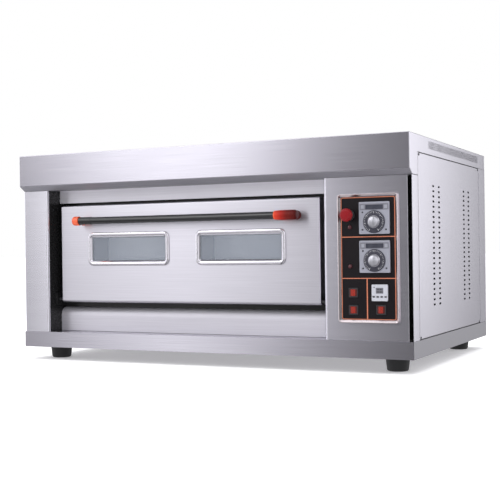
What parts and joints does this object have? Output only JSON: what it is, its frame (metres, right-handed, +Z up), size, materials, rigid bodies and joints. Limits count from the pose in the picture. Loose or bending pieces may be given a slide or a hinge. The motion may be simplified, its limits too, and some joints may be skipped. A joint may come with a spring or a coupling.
{
  "type": "deck oven",
  "caption": "Single-deck electric bakery oven: wide stainless body on rubber feet, drop-down windowed door with bar handle, and a control panel on the right.",
  "frame": {"origin": "on the floor, midway across the oven and midway between its frontmost point (the emergency stop's head) and its rearmost (the exhaust pipe's end)", "axes": "+Z up; the oven faces -Y; +X is on the right of someone facing it, the control side"},
  "size_m": [1.34, 0.924, 0.674],
  "materials": {
    "brushed_steel": "vertically brushed stainless sheet",
    "bright_steel": "bright pressed stainless",
    "plain_steel": "plain dull sheet steel",
    "hot_steel": "heat-darkened steel",
    "hearth": "dark rolled plate",
    "mineral_wool": "matt fibrous wool",
    "black_rubber": "matt",
    "black_enamel": "gloss black",
    "black_plate": "semi-gloss black",
    "orange_plastic": "gloss orange-red",
    "silver_plastic": "satin silver",
    "grey_dial": "satin grey",
    "dark_plastic": "matt black",
    "red_plastic": "gloss red",
    "lit_red": "translucent red, lit",
    "window_glass": "clear tempered glass, faint grey-blue"
  },
  "bodies": {
    "oven": {"base_pan": "brushed_steel", "canopy": "brushed_steel", "left_front_post": "brushed_steel", "right_front_post": "brushed_steel", "rear_panel": "brushed_steel", "left_side_cover": "brushed_steel", "right_side_cover": "brushed_steel", "lintel": "brushed_steel", "sill": "brushed_steel", "control_fascia": "brushed_steel", "control_bezel": "bright_steel", "exhaust_pipe": "bright_steel", "upper_probe": "bright_steel", "lower_probe": "bright_steel", "cavity_liner": "plain_steel", "partition_wall": "plain_steel", "left_hinge_bracket": "plain_steel", "right_hinge_bracket": "plain_steel", "upper_heating_element": "hot_steel", "lower_heating_element": "hot_steel", "deck_plate": "hearth", "insulation_jacket": "mineral_wool", "front_left_foot": "black_rubber", "front_right_foot": "black_rubber", "rear_left_foot": "black_rubber", "rear_right_foot": "black_rubber", "control_panel": "black_plate", "upper_controller": "silver_plastic", "lower_controller": "silver_plastic", "timer_module": "silver_plastic", "upper_heat_switch_frame": "dark_plastic", "lower_heat_switch_frame": "dark_plastic", "lamp_switch_frame": "dark_plastic", "estop_collar": "dark_plastic", "contactor": "dark_plastic", "cable_gland": "dark_plastic", "upper_indicator": "red_plastic", "lower_indicator": "red_plastic", "oven_lamp": "window_glass"},
    "door": {"door_outer_panel": "brushed_steel", "door_inner_panel": "plain_steel", "left_window_frame": "bright_steel", "right_window_frame": "bright_steel", "left_window_glass": "window_glass", "right_window_glass": "window_glass", "inner_glass": "window_glass", "handle_bar": "black_enamel", "left_handle_bracket": "orange_plastic", "right_handle_bracket": "orange_plastic", "hinge_rod": "bright_steel"},
    "upper_dial": {"upper_dial": "grey_dial"},
    "lower_dial": {"lower_dial": "grey_dial"},
    "estop_button": {"estop_button": "red_plastic"},
    "upper_heat_rocker": {"upper_heat_rocker": "lit_red"},
    "lower_heat_rocker": {"lower_heat_rocker": "lit_red"},
    "lamp_rocker": {"lamp_rocker": "lit_red"},
    "timer_key_1": {"timer_key_1": "dark_plastic"},
    "timer_key_2": {"timer_key_2": "dark_plastic"},
    "timer_key_3": {"timer_key_3": "dark_plastic"},
    "timer_key_4": {"timer_key_4": "dark_plastic"}
  },
  "joints": [
    {"name": "door_hinge", "type": "hinge", "parent": "oven", "child": "door", "pos_m": [-0.086, -0.368, 0.198], "axis": [1, 0, 0], "range_deg": [0, 90]},
    {"name": "upper_dial_turn", "type": "hinge", "parent": "oven", "child": "upper_dial", "pos_m": [0.5597, -0.4269, 0.428], "axis": [0, 1, 0], "range_deg": [0, 300]},
    {"name": "lower_dial_turn", "type": "hinge", "parent": "oven", "child": "lower_dial", "pos_m": [0.5597, -0.4269, 0.3189], "axis": [0, 1, 0], "range_deg": [0, 300]},
    {"name": "estop_press", "type": "slide", "parent": "oven", "child": "estop_button", "axis": [0, 1, 0], "range_m": [0, 0.006], "stiffness_N_per_m": 400, "springref_m": -0.002},
    {"name": "upper_heat_rocker_tilt", "type": "hinge", "parent": "oven", "child": "upper_heat_rocker", "pos_m": [0.4938, -0.4215, 0.2282], "axis": [0, 0, 1], "range_deg": [-20, 0]},
    {"name": "lower_heat_rocker_tilt", "type": "hinge", "parent": "oven", "child": "lower_heat_rocker", "pos_m": [0.4938, -0.4215, 0.1792], "axis": [0, 0, 1], "range_deg": [-20, 0]},
    {"name": "lamp_rocker_tilt", "type": "hinge", "parent": "oven", "child": "lamp_rocker", "pos_m": [0.5758, -0.4215, 0.1801], "axis": [0, 0, 1], "range_deg": [-20, 0]},
    {"name": "timer_key_1_press", "type": "slide", "parent": "oven", "child": "timer_key_1", "axis": [0, 1, 0], "range_m": [0, 0.0008], "stiffness_N_per_m": 300, "springref_m": -0.0005},
    {"name": "timer_key_2_press", "type": "slide", "parent": "oven", "child": "timer_key_2", "axis": [0, 1, 0], "range_m": [0, 0.0008], "stiffness_N_per_m": 300, "springref_m": -0.0005},
    {"name": "timer_key_3_press", "type": "slide", "parent": "oven", "child": "timer_key_3", "axis": [0, 1, 0], "range_m": [0, 0.0008], "stiffness_N_per_m": 300, "springref_m": -0.0005},
    {"name": "timer_key_4_press", "type": "slide", "parent": "oven", "child": "timer_key_4", "axis": [0, 1, 0], "range_m": [0, 0.0008], "stiffness_N_per_m": 300, "springref_m": -0.0005}
  ]
}
